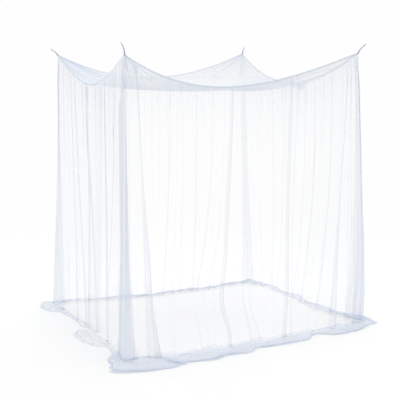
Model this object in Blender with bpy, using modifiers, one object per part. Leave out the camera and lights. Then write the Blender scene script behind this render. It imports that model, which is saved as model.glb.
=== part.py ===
# Box mosquito net canopy: a sagging roof panel, six hanging wall panels that pool on the floor,
# binding tape along the four top edges and a tie at each corner.
# Metres, +Z up. X runs along the front edge, Y from front to back. The origin is the middle of
# the four hanging points, so the floor is HANG_HEIGHT below it.
import math
from collections import namedtuple

import bpy
from mathutils import Vector

HANG_HEIGHT = 2.400
SHEET = 0.0015          # thickness of the net's cloth
CLEARANCE = 0.0003      # gap between touching pieces
TAPE_THICKNESS = 0.003
TAPE_HEIGHT = 0.014
TAPE_STATIONS = 28      # straight stretches in one tape
SEAM_DROP = 0.0010      # the walls' top edge below the tape, clear of the tape's bent line
ROOF_INSET = 0.0009     # the roof's slanted edge from the tape's inner face
LAYER_STEP = 0.0028     # an overlapping panel lies this far outside the one behind it
CORNER_INSET = 0.0020   # a wall's first side edge from the corner line, at the seam
FLOOR_INSET = 0.0070    # and at the floor
CORNER_LAP = 0.0050     # a wall's last side edge runs this far past the corner line
TIE_ROOT_RADIUS = 0.0072
TIE_TIP_RADIUS = 0.0042
TIE_STRAIGHT = 0.016    # upright stretch of a tie that grips the tapes' ends
TIE_CURL = 1.6          # above 1, a tie leaves its corner upright and leans out towards its tip
TIE_STEPS = 11
ROOF_BELLY = 0.058      # how far the roof's middle hangs below the blend of its edges
ROOF_CELLS = 20
ROOF_CROWDING = 0.45    # how much closer the roof's mesh lines lie near its edges
CREASE_MARGIN = 0.09    # a roof crease dies away this close to an edge or a corner
CREASE_NARROW = 0.25    # a crease's width at its corner, as a share of its full width
WIDEST_FLOOR_GAP = 0.110    # widest stretch between two columns of a wall at the floor,
WIDEST_TOP_GAP = 0.070      # and along its top edge, where it follows the tape
LEAST_FLOOR_GAP = 0.0040    # columns closer than this at the floor,
LEAST_TOP_GAP = 0.0012      # or this close at the top, are merged

FALL = (0.0, 0.08, 0.22, 0.44, 0.68, 0.88, 0.97)   # rows down a wall, as shares of its drop
FLARE_POWER = 1.5       # the walls flare mostly in their lower half
FOLD_FULL = 0.30        # share of the drop at which a fold reaches its depth
FOLD_OPENS = 0.70       # and from which it opens towards the floor,
FLOOR_OPENING = 0.40    # by this share of its depth

# x, y and z hang the corner, foot_x and foot_y are where its cloth lands, tie_out and tie_up are
# the reach of its tie along the diagonal and upwards, and tie_bow is the tie's bend to one side
Corner = namedtuple("Corner", "x y z foot_x foot_y tie_out tie_up tie_bow")
CORNERS = {
    "front_left": Corner(-1.101, -0.892, -0.006, -1.190, -1.000, 0.062, 0.084, 0.010),
    "front_right": Corner(1.100, -0.902, 0.010, 1.210, -0.950, 0.064, 0.066, -0.012),
    "back_right": Corner(1.000, 0.912, 0.003, 1.050, 0.870, 0.080, 0.060, 0.006),
    "back_left": Corner(-0.999, 0.883, -0.008, -1.070, 0.970, 0.068, 0.046, 0.006),
}

# sag and bow are the drop and the inward bend of the top edge, low is where it hangs lowest
Edge = namedtuple("Edge", "start end sag bow low")
EDGES = {
    "front": Edge("front_left", "front_right", 0.266, 0.028, 0.42),
    "right": Edge("front_right", "back_right", 0.273, 0.050, 0.50),
    "back": Edge("back_right", "back_left", 0.224, 0.070, 0.54),
    "left": Edge("back_left", "front_left", 0.256, 0.090, 0.38),
}
ORDER = ("front", "right", "back", "left")

# top and floor place a fold's crest as shares of the way along the edge and the foot line,
# spread is half its width at the floor, depth is how far it stands out, or in where negative
Fold = namedtuple("Fold", "top floor spread depth")
# bulge moves the foot line out, puddle is how far the cloth spreads over the floor
Hem = namedtuple("Hem", "along bulge puddle")
# start, end and floor_end are shares of the same ways, gather is a fold's width at the seam as a
# share of that at the floor, layer counts the panels behind, seed shifts the hem's waves
Panel = namedtuple("Panel", "edge start end floor_end gather layer folds hem seed")

PANELS = {
    "front_panel": Panel("front", 0.014, 1.0, 1.0, 0.42, 0, (
        Fold(0.050, 0.055, 0.030, -0.010),
        Fold(0.104, 0.108, 0.034, -0.012),
        Fold(0.172, 0.190, 0.040, 0.014),
        Fold(0.255, 0.288, 0.036, 0.020),
        Fold(0.330, 0.350, 0.030, -0.012),
        Fold(0.404, 0.406, 0.042, 0.036),
        Fold(0.486, 0.486, 0.026, 0.018),
        Fold(0.524, 0.530, 0.026, 0.016),
        Fold(0.598, 0.594, 0.036, -0.014),
        Fold(0.682, 0.656, 0.044, 0.036),
        Fold(0.762, 0.742, 0.036, 0.014),
        Fold(0.838, 0.806, 0.034, -0.012),
        Fold(0.906, 0.868, 0.040, 0.032),
        Fold(0.950, 0.918, 0.022, 0.022),
        Fold(0.974, 0.948, 0.020, 0.028),
        Fold(0.990, 0.976, 0.018, 0.024),
    ), (
        Hem(0.00, -0.020, 0.040),
        Hem(0.144, -0.012, 0.040),
        Hem(0.166, 0.025, 0.300),
        Hem(0.27, 0.030, 0.300),
        Hem(0.34, 0.040, 0.240),
        Hem(0.41, 0.045, 0.260),
        Hem(0.47, 0.040, 0.190),
        Hem(0.60, 0.035, 0.215),
        Hem(0.67, 0.030, 0.200),
        Hem(0.735, 0.020, 0.100),
        Hem(0.80, 0.015, 0.210),
        Hem(0.88, 0.010, 0.205),
        Hem(0.95, 0.005, 0.140),
        Hem(1.00, 0.000, 0.130),
    ), 1.3),
    "front_flap": Panel("front", 0.0, 0.048, 0.138, 0.17, 1, (
        Fold(0.006, 0.011, 0.013, 0.026),
        Fold(0.012, 0.025, 0.014, 0.030),
        Fold(0.018, 0.039, 0.014, 0.024),
        Fold(0.034, 0.104, 0.040, 0.020),
    ), (
        Hem(0.00, 0.002, 0.270),
        Hem(0.05, 0.022, 0.345),
        Hem(0.10, 0.036, 0.330),
        Hem(0.14, 0.040, 0.270),
    ), 4.1),
    "right_panel": Panel("right", 0.0, 1.0, 1.0, 0.42, 0, (
        Fold(0.010, 0.022, 0.018, 0.024),
        Fold(0.026, 0.058, 0.022, 0.028),
        Fold(0.048, 0.104, 0.026, 0.024),
        Fold(0.092, 0.172, 0.030, 0.018),
        Fold(0.152, 0.246, 0.030, 0.016),
        Fold(0.222, 0.318, 0.030, -0.013),
        Fold(0.290, 0.384, 0.028, 0.015),
        Fold(0.360, 0.452, 0.030, 0.018),
        Fold(0.432, 0.520, 0.028, 0.013),
        Fold(0.536, 0.604, 0.032, 0.018),
        Fold(0.612, 0.672, 0.030, -0.013),
        Fold(0.692, 0.742, 0.032, 0.018),
        Fold(0.800, 0.820, 0.032, 0.014),
        Fold(0.892, 0.896, 0.032, 0.018),
        Fold(0.952, 0.948, 0.022, 0.022),
        Fold(0.982, 0.980, 0.016, 0.022),
    ), (
        Hem(0.00, 0.000, 0.120),
        Hem(0.08, -0.030, 0.170),
        Hem(0.20, -0.095, 0.120),
        Hem(0.33, -0.100, 0.150),
        Hem(0.46, -0.060, 0.090),
        Hem(0.60, -0.015, 0.130),
        Hem(0.72, 0.015, 0.080),
        Hem(0.86, 0.015, 0.140),
        Hem(1.00, 0.000, 0.170),
    ), 2.6),
    "back_panel": Panel("back", 0.0, 1.0, 1.0, 0.42, 0, (
        Fold(0.012, 0.014, 0.016, 0.022),
        Fold(0.034, 0.044, 0.022, 0.024),
        Fold(0.066, 0.094, 0.026, 0.018),
        Fold(0.128, 0.160, 0.030, 0.014),
        Fold(0.186, 0.232, 0.030, 0.018),
        Fold(0.270, 0.304, 0.032, -0.013),
        Fold(0.345, 0.372, 0.032, 0.018),
        Fold(0.420, 0.442, 0.030, 0.014),
        Fold(0.500, 0.514, 0.032, 0.018),
        Fold(0.570, 0.578, 0.030, -0.013),
        Fold(0.645, 0.644, 0.032, 0.018),
        Fold(0.752, 0.746, 0.034, 0.014),
        Fold(0.835, 0.828, 0.032, 0.018),
        Fold(0.902, 0.890, 0.030, 0.016),
        Fold(0.954, 0.942, 0.024, 0.024),
        Fold(0.984, 0.976, 0.020, 0.022),
    ), (
        Hem(0.00, 0.000, 0.170),
        Hem(0.10, -0.050, 0.120),
        Hem(0.22, -0.100, 0.100),
        Hem(0.38, -0.120, 0.140),
        Hem(0.52, -0.130, 0.100),
        Hem(0.66, -0.120, 0.150),
        Hem(0.80, -0.080, 0.110),
        Hem(0.92, -0.030, 0.130),
        Hem(1.00, 0.000, 0.130),
    ), 5.2),
    "left_rear_panel": Panel("left", 0.0, 0.574, 0.574, 0.42, 0, (
        Fold(0.013, 0.018, 0.018, 0.024),
        Fold(0.036, 0.052, 0.022, 0.026),
        Fold(0.080, 0.108, 0.028, 0.018),
        Fold(0.140, 0.170, 0.030, 0.016),
        Fold(0.221, 0.248, 0.032, 0.020),
        Fold(0.303, 0.326, 0.032, -0.013),
        Fold(0.396, 0.414, 0.034, 0.018),
        Fold(0.474, 0.486, 0.022, -0.012),
        Fold(0.536, 0.544, 0.022, -0.010),
    ), (
        Hem(0.00, 0.000, 0.130),
        Hem(0.08, -0.020, 0.190),
        Hem(0.18, -0.050, 0.060),
        Hem(0.32, -0.065, 0.045),
        Hem(0.44, -0.080, 0.070),
        Hem(0.50, -0.092, 0.040),
        Hem(0.58, -0.096, 0.040),
    ), 3.7),
    "left_door_panel": Panel("left", 0.502, 1.0, 1.0, 0.42, 1, (
        Fold(0.518, 0.528, 0.024, 0.022),
        Fold(0.596, 0.610, 0.032, 0.018),
        Fold(0.680, 0.690, 0.032, 0.014),
        Fold(0.765, 0.774, 0.032, 0.020),
        Fold(0.852, 0.852, 0.032, 0.018),
        Fold(0.918, 0.906, 0.028, 0.020),
        Fold(0.956, 0.948, 0.022, 0.032),
        Fold(0.984, 0.980, 0.018, 0.034),
    ), (
        Hem(0.49, -0.036, 0.110),
        Hem(0.56, -0.034, 0.165),
        Hem(0.66, -0.046, 0.190),
        Hem(0.73, -0.055, 0.150),
        Hem(0.80, -0.062, 0.060),
        Hem(0.88, -0.050, 0.060),
        Hem(0.95, -0.018, 0.170),
        Hem(1.00, 0.000, 0.230),
    ), 0.4),
}

# Tension creases of the roof: heading is the angle from the corner's front or back edge, reach is
# their length, height is up or, where negative, down, and width is half their width at the far end
Crease = namedtuple("Crease", "corner heading reach height width")
CREASES = (
    Crease("front_left", 17.0, 0.90, 0.012, 0.070),
    Crease("front_left", 46.0, 1.10, -0.022, 0.110),
    Crease("front_right", 13.0, 1.00, 0.012, 0.070),
    Crease("front_right", 52.0, 1.50, -0.036, 0.130),
    Crease("back_right", 38.0, 0.90, -0.016, 0.090),
    Crease("back_left", 24.0, 1.10, -0.020, 0.090),
    Crease("back_left", 50.0, 0.80, 0.012, 0.080),
)

# The cloth from where it lands to its tucked hem: out is a share of the puddle, up is a height,
# ripple is how much that height varies along the hem
Run = namedtuple("Run", "out up ripple")
PUDDLE = (
    Run(0.06, 0.030, 0.004),
    Run(0.36, 0.020, 0.006),
    Run(0.76, 0.029, 0.011),
    Run(1.00, 0.011, 0.002),
    Run(0.80, 0.001, 0.000),
)
FULL_PUDDLE = 0.12      # a narrower puddle is lower as well
PUDDLE_FLATTENING = 0.8     # share of a fold's depth that is lost by the puddle's outer edge
CORNER_REACH = 0.16     # share of a wall over which its puddle turns to the corner's bisector
WIDTH_WAVES = 5.0       # waves of the puddle's width along a wall,
WIDTH_WAVE = 0.08       # and their share of that width
HEIGHT_WAVES = 8.0      # waves of the puddle's height
MAIN_WAVE = 0.6         # share of the first of the two waves that make a hem uneven
SECOND_WAVE = 1.73      # the second one's frequency, in times the first one's,
SECOND_SHIFT = 2.1      # and its seed, in the same way

Finish = namedtuple("Finish", "colour roughness")
NET = Finish((0.80, 0.86, 0.94), 0.85)
TAPE = Finish((0.62, 0.68, 0.76), 0.80)
TIE = Finish((0.50, 0.54, 0.60), 0.80)


def clear_scene():
    for old in list(bpy.data.objects):
        bpy.data.objects.remove(old, do_unlink=True)


def make_material(name, finish):
    material = bpy.data.materials.new(name)
    material.use_nodes = True
    shader = material.node_tree.nodes["Principled BSDF"]
    shader.inputs["Base Color"].default_value = (*finish.colour, 1.0)
    shader.inputs["Roughness"].default_value = finish.roughness
    shader.inputs["Metallic"].default_value = 0.0
    return material


def corner_point(name):
    corner = CORNERS[name]
    return Vector((corner.x, corner.y, corner.z))


def foot_point(name):
    corner = CORNERS[name]
    return Vector((corner.foot_x, corner.foot_y, -HANG_HEIGHT))


def outward(start, end):
    """The level direction on the right-hand side of the way from start to end."""
    way = end - start
    return Vector((way.y, -way.x, 0.0)).normalized()


def ease(value):
    value = min(max(value, 0.0), 1.0)
    return value * value * (3.0 - 2.0 * value)


def hang(edge, along):
    """How far an edge has sagged at a share of its length, as a share of its full sag."""
    skew = (0.5 - edge.low) / (edge.low * (1.0 - edge.low))
    warped = along + skew * along * (1.0 - along)
    return 4.0 * warped * (1.0 - warped)


def seam_point(edge_name, along, out=0.0, down=0.0):
    """A point of the top edge, moved out of the canopy and down."""
    edge = EDGES[edge_name]
    start, end = corner_point(edge.start), corner_point(edge.end)
    sagged = max(hang(edge, along), 0.0)
    point = start.lerp(end, along)
    point += outward(start, end) * (out - edge.bow * sagged)
    point.z -= edge.sag * sagged + down
    return point


def seam_length(edge_name):
    edge = EDGES[edge_name]
    return (corner_point(edge.end) - corner_point(edge.start)).length


def between(rows, key, value, along):
    """A table's column, read smoothly between its rows."""
    for low, high in zip(rows, rows[1:]):
        if along <= getattr(high, key):
            share = (along - getattr(low, key)) / (getattr(high, key) - getattr(low, key))
            return getattr(low, value) + ease(share) * (getattr(high, value) - getattr(low, value))
    return getattr(rows[-1], value)


def ripple(along, seed, waves):
    """An uneven wave from -1 to 1 along a hem."""
    turn = 2.0 * math.pi * waves * along
    first = math.sin(turn + seed)
    second = math.sin(SECOND_WAVE * turn + SECOND_SHIFT * seed)
    return MAIN_WAVE * first + (1.0 - MAIN_WAVE) * second


def puddle_way(edge_name, along):
    """The direction in which a wall's cloth spreads on the floor: its normal, or at a corner
    the bisector that it shares with the next wall."""
    place = ORDER.index(edge_name)
    edge = EDGES[edge_name]
    before, after = EDGES[ORDER[place - 1]], EDGES[ORDER[(place + 1) % len(ORDER)]]
    own = outward(foot_point(edge.start), foot_point(edge.end))
    near, other = along, outward(foot_point(before.start), foot_point(before.end))
    if along > 0.5:
        near, other = 1.0 - along, outward(foot_point(after.start), foot_point(after.end))
    return (own + other * ease(1.0 - near / CORNER_REACH)).normalized()


Column = namedtuple("Column", "top floor depth")


def panel_columns(panel):
    """The upright lines of a panel's mesh: both bases and the crest of each fold, with more
    between folds that stand far apart."""
    top_length = seam_length(panel.edge)
    edge = EDGES[panel.edge]
    floor_length = (foot_point(edge.end) - foot_point(edge.start)).length
    layer = LAYER_STEP * panel.layer
    first_top = panel.start + (CORNER_INSET - layer) / top_length
    last_top = panel.end + (CORNER_LAP + layer) / top_length
    first_floor = panel.start + (FLOOR_INSET - layer) / floor_length
    last_floor = panel.floor_end + (CORNER_LAP + layer) / floor_length
    marks = [Column(first_top, first_floor, 0.0)]
    for fold in panel.folds:
        half_floor = fold.spread / floor_length
        half_top = panel.gather * half_floor
        marks.append(Column(fold.top - half_top, fold.floor - half_floor, 0.0))
        marks.append(Column(fold.top, fold.floor, fold.depth))
        marks.append(Column(fold.top + half_top, fold.floor + half_floor, 0.0))
    marks.append(Column(last_top, last_floor, 0.0))
    columns = marks[:1]
    for mark in marks[1:]:
        last = columns[-1]
        floor_gap = (mark.floor - last.floor) * floor_length
        top_gap = (mark.top - last.top) * top_length
        if top_gap < LEAST_TOP_GAP or floor_gap < LEAST_FLOOR_GAP:
            if mark is marks[-1]:
                columns[-1] = mark
            continue
        extra = int(max(floor_gap / WIDEST_FLOOR_GAP, top_gap / WIDEST_TOP_GAP))
        for step in range(1, extra + 1):
            share = step / (extra + 1)
            columns.append(Column(
                last.top + share * (mark.top - last.top),
                last.floor + share * (mark.floor - last.floor),
                0.0,
            ))
        columns.append(mark)
    return columns


def fold_growth(drop):
    """A fold starts flat at the seam, is soon full and opens at the floor."""
    opened = ease((drop - FOLD_OPENS) / (1.0 - FOLD_OPENS))
    return ease(drop / FOLD_FULL) * (1.0 + FLOOR_OPENING * opened)


def wall_column(panel, column):
    """One upright line of a panel, from the seam to the hem tucked under on the floor."""
    edge = EDGES[panel.edge]
    layer = LAYER_STEP * panel.layer
    start, end = foot_point(edge.start), foot_point(edge.end)
    way_out = outward(start, end)
    top = seam_point(panel.edge, column.top, out=layer, down=TAPE_HEIGHT + SEAM_DROP)
    bulge = between(panel.hem, "along", "bulge", column.floor)
    foot = start.lerp(end, column.floor) + way_out * (bulge + layer)
    width = between(panel.hem, "along", "puddle", column.floor)
    low = min(width / FULL_PUDDLE, 1.0)
    floor_z = -HANG_HEIGHT + SHEET / 2
    landing = floor_z + PUDDLE[0].up * low
    points = []
    for drop in FALL:
        flare = drop ** FLARE_POWER
        point = top.lerp(foot, flare)
        point.z = top.z + (landing - top.z) * drop
        point += way_out * (column.depth * fold_growth(drop))
        points.append(point)
    spread_way = puddle_way(panel.edge, column.floor)
    uneven = 1.0 + WIDTH_WAVE * ripple(column.floor, panel.seed, WIDTH_WAVES)
    for number, run in enumerate(PUDDLE):
        reach = width * run.out * uneven
        wave = run.ripple * ripple(column.floor, panel.seed + number, HEIGHT_WAVES)
        fold = column.depth * fold_growth(1.0) * (1.0 - PUDDLE_FLATTENING * run.out)
        point = foot + way_out * fold + spread_way * reach
        point.z = floor_z + (run.up + wave) * low
        points.append(point)
    return points


def add_object(name, data, material, collection):
    data.materials.append(material)
    made = bpy.data.objects.new(name, data)
    collection.objects.link(made)
    return made


def add_sheet(name, rows, thickness, material, collection):
    """A cloth sheet from a grid of points: an open surface, split into triangles so that both
    of its sides bend alike, then thickened about its middle."""
    across = len(rows[0])
    points = [point for row in rows for point in row]
    faces = [
        (line * across + place, line * across + place + 1,
         (line + 1) * across + place + 1, (line + 1) * across + place)
        for line in range(len(rows) - 1)
        for place in range(across - 1)
    ]
    mesh = bpy.data.meshes.new(name)
    mesh.from_pydata(points, [], faces)
    mesh.shade_smooth()
    sheet = add_object(name, mesh, material, collection)
    split = sheet.modifiers.new("Split quads", "TRIANGULATE")
    split.quad_method = "SHORTEST_DIAGONAL"
    shell = sheet.modifiers.new("Cloth", "SOLIDIFY")
    shell.thickness = thickness
    shell.offset = 0.0
    return sheet


def add_wall(name, panel, material, collection):
    columns = [wall_column(panel, column) for column in panel_columns(panel)]
    return add_sheet(name, columns, SHEET, material, collection)


def roof_sag(along, back):
    """Drop of the roof below the hanging points: the four edges blended, and its belly."""
    front, rear = EDGES["front"], EDGES["back"]
    left, right = EDGES["left"], EDGES["right"]
    lengthwise = (1 - back) * front.sag * hang(front, along) + back * rear.sag * hang(rear, 1 - along)
    crosswise = (1 - along) * left.sag * hang(left, 1 - back) + along * right.sag * hang(right, back)
    deepest = max(edge.sag for edge in EDGES.values())
    belly = ROOF_BELLY * 16.0 * along * (1 - along) * back * (1 - back)
    return lengthwise + crosswise - lengthwise * crosswise / deepest + belly


def crease_height(place):
    """How far the roof's creases raise a point of it."""
    total = 0.0
    for crease in CREASES:
        corner = corner_point(crease.corner)
        step_x, step_y = abs(place.x - corner.x), abs(place.y - corner.y)
        away = math.hypot(step_x, step_y)
        aside = away * math.sin(math.atan2(step_y, step_x) - math.radians(crease.heading))
        widening = CREASE_NARROW + (1.0 - CREASE_NARROW) * min(away / crease.reach, 1.0)
        half_width = crease.width * widening
        fade = ease(away / CREASE_MARGIN) * (1.0 - ease(2.0 * away / crease.reach - 1.0))
        total += crease.height * fade * math.exp(-(aside / half_width) ** 2)
    return total


def roof_point(along, back):
    """A point of the roof, by its shares of the way to the right and to the back."""
    inset = TAPE_THICKNESS / 2 + ROOF_INSET
    front = seam_point("front", along, out=-inset)
    rear = seam_point("back", 1 - along, out=-inset)
    left = seam_point("left", 1 - back, out=-inset)
    right = seam_point("right", back, out=-inset)
    corners = [corner_point(name) for name in ("front_left", "front_right", "back_left", "back_right")]
    flat = corners[0].lerp(corners[1], along).lerp(corners[2].lerp(corners[3], along), back)
    point = front.lerp(rear, back) + left.lerp(right, along) - flat
    edge_gap = min(along, 1 - along, back, 1 - back) * seam_length("right")
    creased = crease_height(point) * ease(edge_gap / CREASE_MARGIN)
    point.z = flat.z - roof_sag(along, back) - TAPE_HEIGHT / 2 + creased
    return point


def crowded(share):
    """A share of the way across the roof, drawn towards the nearer edge."""
    return share - ROOF_CROWDING * math.sin(2 * math.pi * share) / (2 * math.pi)


def add_roof(material, collection):
    """The roof's corners stop short of the ties that grip the tapes there."""
    rows = []
    for row in range(ROOF_CELLS + 1):
        back = crowded(row / ROOF_CELLS)
        rows.append([roof_point(crowded(cell / ROOF_CELLS), back) for cell in range(ROOF_CELLS + 1)])
    short = TIE_ROOT_RADIUS + SHEET
    for row, cell in ((0, 0), (0, -1), (-1, 0), (-1, -1)):
        middle = Vector((0.0, 0.0, rows[row][cell].z))
        inward = (middle - rows[row][cell]).normalized()
        rows[row][cell] += inward * short
    return add_sheet("roof_panel", rows, SHEET, material, collection)


def add_tape(edge_name, material, collection):
    """Binding tape along one top edge, from one tie to the next."""
    end_gap = (TIE_ROOT_RADIUS + CLEARANCE) / seam_length(edge_name)
    upper, lower = [], []
    for station in range(TAPE_STATIONS + 1):
        along = end_gap + (1 - 2 * end_gap) * station / TAPE_STATIONS
        upper.append(seam_point(edge_name, along))
        lower.append(seam_point(edge_name, along, down=TAPE_HEIGHT))
    return add_sheet("binding_" + edge_name, [upper, lower], TAPE_THICKNESS, material, collection)


def add_tie(corner_name, material, collection):
    """A tie: upright where it grips the tapes' ends, then out along the corner's diagonal and up."""
    corner = CORNERS[corner_name]
    root = corner_point(corner_name)
    root.z -= TAPE_HEIGHT - CLEARANCE
    level = Vector((corner.x, corner.y, 0.0)).normalized()
    side = Vector((-level.y, level.x, 0.0))
    curve = bpy.data.curves.new("tie_" + corner_name, "CURVE")
    curve.dimensions = "3D"
    curve.bevel_depth = 1.0
    curve.bevel_resolution = 2
    curve.use_fill_caps = True
    spline = curve.splines.new("POLY")
    spline.points.add(TIE_STEPS)
    for step, point in enumerate(spline.points):
        share = step / TIE_STEPS
        bend = math.sin(math.pi * share)
        place = root + level * (corner.tie_out * share ** TIE_CURL)
        place += side * (corner.tie_bow * bend * share)
        place.z += TIE_STRAIGHT * share + corner.tie_up * share
        point.co = (*place, 1.0)
        point.radius = TIE_ROOT_RADIUS + (TIE_TIP_RADIUS - TIE_ROOT_RADIUS) * share
    return add_object("tie_" + corner_name, curve, material, collection)


def build():
    clear_scene()
    canopy = bpy.data.collections.new("mosquito_net_canopy")
    bpy.context.scene.collection.children.link(canopy)
    net = make_material("net", NET)
    tape = make_material("binding_tape", TAPE)
    tie = make_material("tie_tape", TIE)
    add_roof(net, canopy)
    for name, panel in PANELS.items():
        add_wall(name, panel, net, canopy)
    for edge_name in ORDER:
        add_tape(edge_name, tape, canopy)
    for corner_name in CORNERS:
        add_tie(corner_name, tie, canopy)


build()
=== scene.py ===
import math
from functools import partialmethod

import bpy
import numpy as np
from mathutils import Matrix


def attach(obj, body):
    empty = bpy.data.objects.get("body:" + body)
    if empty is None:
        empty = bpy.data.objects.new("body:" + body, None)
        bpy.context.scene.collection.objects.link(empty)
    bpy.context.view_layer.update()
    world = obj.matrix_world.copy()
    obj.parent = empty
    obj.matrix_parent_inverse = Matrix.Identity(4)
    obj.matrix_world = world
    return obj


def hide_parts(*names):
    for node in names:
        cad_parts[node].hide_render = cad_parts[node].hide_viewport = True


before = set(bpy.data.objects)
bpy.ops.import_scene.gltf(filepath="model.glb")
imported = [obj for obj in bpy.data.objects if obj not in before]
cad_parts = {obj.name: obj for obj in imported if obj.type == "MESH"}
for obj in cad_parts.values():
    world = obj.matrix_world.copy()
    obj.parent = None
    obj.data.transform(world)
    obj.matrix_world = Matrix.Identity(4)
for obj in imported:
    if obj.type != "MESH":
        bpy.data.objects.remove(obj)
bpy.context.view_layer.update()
print("frame loaded:", len(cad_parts), "nodes")

# metres, the origin is the middle of the four hanging points
hangHeight = 2.4
floorZ = -hangHeight
tapeHeight = 0.014
tapeThickness = 0.003
layerStep = 0.0028  # an outer panel lies this far outside the one behind it
seamTuck = 0.004  # cloth that is hidden in the tape

view = dict(place=(-4.19, -7.954, -0.011), pitchDown=8.33, turnRight=27.92, lens=89.36)


def addCamera():
    data = bpy.data.cameras.new("camera")
    data.lens = view["lens"]
    camera = bpy.data.objects.new("camera", data)
    camera.location = view["place"]
    camera.rotation_euler = (math.radians(90 - view["pitchDown"]), 0, -math.radians(view["turnRight"]))
    data.clip_end = 400
    bpy.context.scene.collection.objects.link(camera)
    bpy.context.scene.camera = camera


studio = dict(
    sky=0.991, sunStrength=0.94, sunSpread=75, sunTilt=(-24, 22), floorSize=320, floorWhite=0.799,
    lift=0.095, liftReach=6.0, liftFull=1.6,  # a painted pool of light: the floor is a little brighter around the canopy
    patchy=0.06, patch=3.0,  # how uneven that is, and its patches to a metre
)


def addStudio():
    scene = bpy.context.scene
    scene.view_settings.view_transform = "Standard"
    scene.cycles.transparent_max_bounces = 48  # a look through the net meets many layers
    world = bpy.data.worlds.new("studio")
    world.use_nodes = True
    sky = world.node_tree.nodes["Background"]
    sky.inputs["Color"].default_value = (1, 1, 1, 1)
    sky.inputs["Strength"].default_value = studio["sky"]
    scene.world = world
    data = bpy.data.lights.new("softbox", "SUN")
    data.energy = studio["sunStrength"]
    data.angle = math.radians(studio["sunSpread"])
    sun = bpy.data.objects.new("softbox", data)
    sun.rotation_euler = [math.radians(turn) for turn in studio["sunTilt"]] + [0]
    scene.collection.objects.link(sun)
    bpy.ops.mesh.primitive_grid_add(x_subdivisions=8, y_subdivisions=8, size=studio["floorSize"])
    floor = bpy.context.object
    floor.name = "floor"
    floor.location = (0, 0, floorZ)
    floor.data.materials.append(floorMaterial())


# a socket with arithmetic
class Val:
    def __init__(self, tree, socket):
        self.tree, self.socket = tree, socket

    def maths(self, operation, *values):
        node = self.tree.nodes.new("ShaderNodeMath")
        node.operation = operation
        for into, value in zip(node.inputs, values):
            if isinstance(value, Val):
                self.tree.links.new(value.socket, into)
            else:
                into.default_value = value
        return Val(self.tree, node.outputs[0])

    def own(self, operation, *others):
        return self.maths(operation, self, *others)

    def __rsub__(self, other):
        return self.maths("SUBTRACT", other, self)

    __add__ = __radd__ = partialmethod(own, "ADD")
    __mul__ = __rmul__ = partialmethod(own, "MULTIPLY")
    __sub__ = partialmethod(own, "SUBTRACT")
    __truediv__ = partialmethod(own, "DIVIDE")
    __pow__ = partialmethod(own, "POWER")
    __neg__ = partialmethod(own, "MULTIPLY", -1.0)
    __abs__ = partialmethod(own, "ABSOLUTE")
    sine = partialmethod(own, "SINE")
    exponent = partialmethod(own, "EXPONENT")
    below = partialmethod(own, "LESS_THAN")
    atLeast = partialmethod(own, "MAXIMUM")
    atMost = partialmethod(own, "MINIMUM")


# a material with one Principled shader and a short way to add nodes
class Finish:
    def __init__(self, name, **sockets):
        self.material = bpy.data.materials.new(name)
        self.material.use_nodes = True
        self.tree = self.material.node_tree
        self.shader = self.tree.nodes["Principled BSDF"]
        for socket, value in sockets.items():
            self.shader.inputs[socket.replace("_", " ")].default_value = value

    def node(self, kind, settings=None, output=0, **values):
        node = self.tree.nodes.new(kind)
        for key, value in (settings or {}).items():
            setattr(node, key, value)
        for key, value in values.items():
            numbered = key.startswith("in")
            into = node.inputs[int(key[2:]) if numbered else key.replace("_", " ")]
            if isinstance(value, Val):
                self.tree.links.new(value.socket, into)
            else:
                into.default_value = value
        return Val(self.tree, node.outputs[output])

    def clothPlace(self):
        place = self.node("ShaderNodeUVMap", dict(uv_map="cloth"))
        parts = self.tree.nodes.new("ShaderNodeSeparateXYZ")
        self.tree.links.new(place.socket, parts.inputs[0])
        return Val(self.tree, parts.outputs[0]), Val(self.tree, parts.outputs[1])

    def attribute(self, name):
        return self.node("ShaderNodeAttribute", dict(attribute_name=name), 2)

    # a point for a texture, with its grain stretched along the cloth
    def stretched(self, across, down, acrossSize, downSize):
        return self.node("ShaderNodeCombineXYZ", None, 0, in0=across / acrossSize, in1=down / downSize)

    def mixed(self, factor, first, second):
        return self.node(
            "ShaderNodeMix", dict(data_type="RGBA"), 2, in0=factor, in6=(*first, 1), in7=(*second, 1)
        )

    def feed(self, **links):
        for socket, value in links.items():
            self.tree.links.new(value.socket, self.shader.inputs[socket.replace("_", " ")])


net = dict(
    # light is the net's own colour; deep is mostly painted shade, the colour it takes where the cloth is
    # full
    light=(0.85, 0.87, 0.9), deep=(0.58, 0.64, 0.76), rough=0.82,
    cover=0.026,  # how much one flat layer hides, seen straight on
    fullestShade=5.0,  # the fullness at which the painted shade is deepest
    pitch=0.0022, thread=1.32, hole=0.8,  # one mesh of the netting, thread and hole 1 on average
    streak=(0.03, 2.4), streakDepth=0.06,  # across and down
    hemWidth=0.012, hemCover=0.8, sheen=0.15,
)


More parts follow.
